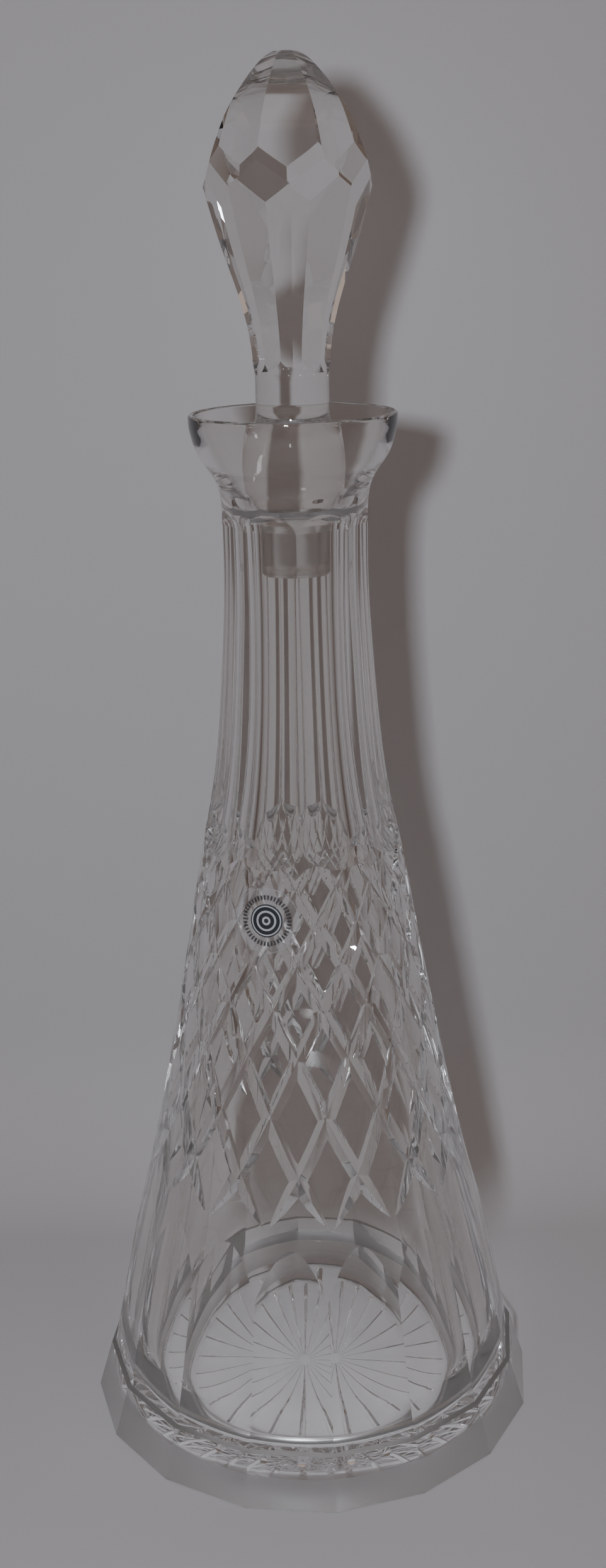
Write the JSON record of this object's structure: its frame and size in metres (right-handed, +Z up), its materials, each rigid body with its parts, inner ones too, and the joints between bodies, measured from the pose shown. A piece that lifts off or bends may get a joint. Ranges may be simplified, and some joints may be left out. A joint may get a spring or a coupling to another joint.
{
  "type": "cut crystal decanter",
  "caption": "Tapered cut crystal decanter with fluted neck, diamond-cut body, faceted foot, flared cup rim and a lift-out faceted stopper.",
  "frame": {"origin": "centre of the foot, on the surface that the decanter stands on", "axes": "+Z up along the decanter's axis, -Y towards the front, where the label sits a little to the left"},
  "size_m": [0.1266, 0.1266, 0.366],
  "materials": {
    "body_crystal": "polished clear lead crystal, wheel cut",
    "stopper_crystal": "polished clear lead crystal, flat facets",
    "label_film": "clear film with a plain ring print"
  },
  "bodies": {
    "decanter": {"decanter_body": "body_crystal", "round_label": "label_film"},
    "stopper": {"stopper": "stopper_crystal"}
  },
  "joints": [
    {"name": "stopper_lift", "type": "slide", "parent": "decanter", "child": "stopper", "axis": [0, 0, 1], "range_m": [0, 0.05]}
  ]
}
